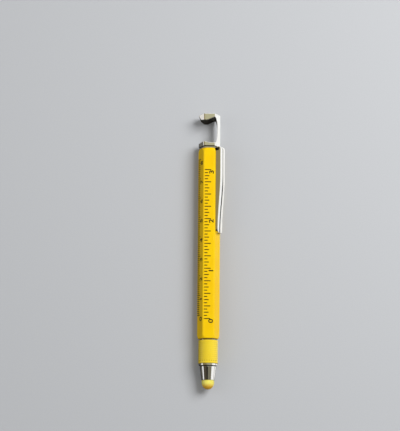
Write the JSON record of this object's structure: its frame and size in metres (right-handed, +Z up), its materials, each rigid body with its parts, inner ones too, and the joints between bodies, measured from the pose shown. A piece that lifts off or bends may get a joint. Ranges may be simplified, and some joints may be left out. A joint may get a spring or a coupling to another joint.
{
  "type": "multi tool pen",
  "caption": "Hexagonal ballpoint pen with a pull-out bottle opener and screwdriver bit, rubber-tipped stylus cap, sprung pocket clip and screw-off ribbed grip.",
  "frame": {"origin": "middle of the barrel's back flat, the face that the pen lies on", "axes": "+Y along the pen towards the bottle opener, +Z up from the back flat to the face with the inch scale, +X towards the clip's side"},
  "size_m": [0.0135, 0.1407, 0.0109],
  "materials": {
    "yellow_lacquer": "gloss lacquer",
    "yellow_grip": "satin lacquer over turned ribs",
    "chrome_plate": "polished",
    "yellow_rubber": "soft matte",
    "tool_steel": "satin",
    "turned_brass": "turned",
    "black_plastic": "matte",
    "seal_rubber": "matte",
    "white_plastic": "matte"
  },
  "bodies": {
    "barrel": {"hex_barrel": "yellow_lacquer", "thread_insert": "turned_brass", "chamber_plug": "white_plastic", "top_bushing": "black_plastic", "clip_plate": "chrome_plate"},
    "clip": {"clip_arm": "chrome_plate"},
    "opener": {"opener_head": "chrome_plate", "opener_stud": "tool_steel", "bit_holder": "tool_steel", "holder_seal": "seal_rubber", "bit_magnet": "tool_steel"},
    "bit": {"screwdriver_bit": "tool_steel"},
    "ring": {"grip_ring": "chrome_plate"},
    "grip": {"grip_collar": "yellow_grip", "grip_core": "turned_brass", "writing_nose": "chrome_plate", "refill_retainer": "white_plastic", "refill_tube": "tool_steel", "refill_tip": "turned_brass", "refill_ball": "tool_steel", "refill_plug": "black_plastic", "cap_seal": "seal_rubber"},
    "stylus_cap": {"cap_ring": "chrome_plate", "stylus_cone": "chrome_plate", "cap_liner": "black_plastic", "stylus_dome": "yellow_rubber"}
  },
  "joints": [
    {"name": "clip_flex", "type": "hinge", "parent": "barrel", "child": "clip", "pos_m": [0.00541, 0.0491, 0.00813], "axis": [-0.5, 0, 0.866], "range_deg": [0, 3.5], "stiffness_Nm_per_rad": 1.2},
    {"name": "opener_pull", "type": "slide", "parent": "barrel", "child": "opener", "axis": [0, 1, 0], "range_m": [0, 0.036]},
    {"name": "bit_pull", "type": "slide", "parent": "opener", "child": "bit", "axis": [0, -1, 0], "range_m": [0, 0.015]},
    {"name": "grip_turn", "type": "hinge", "parent": "barrel", "child": "ring", "pos_m": [0, -0.0492, 0.005], "axis": [0, -1, 0], "range_deg": [0, 1440]},
    {"name": "grip_travel", "type": "slide", "parent": "ring", "child": "grip", "axis": [0, -1, 0], "range_m": [0, 0.0061]},
    {"name": "cap_pull", "type": "slide", "parent": "grip", "child": "stylus_cap", "axis": [0, -1, 0], "range_m": [0, 0.013]}
  ],
  "couplings": [
    {"joint": "grip_travel", "follows": "grip_turn", "m_per_rad": 0.00023873}
  ]
}
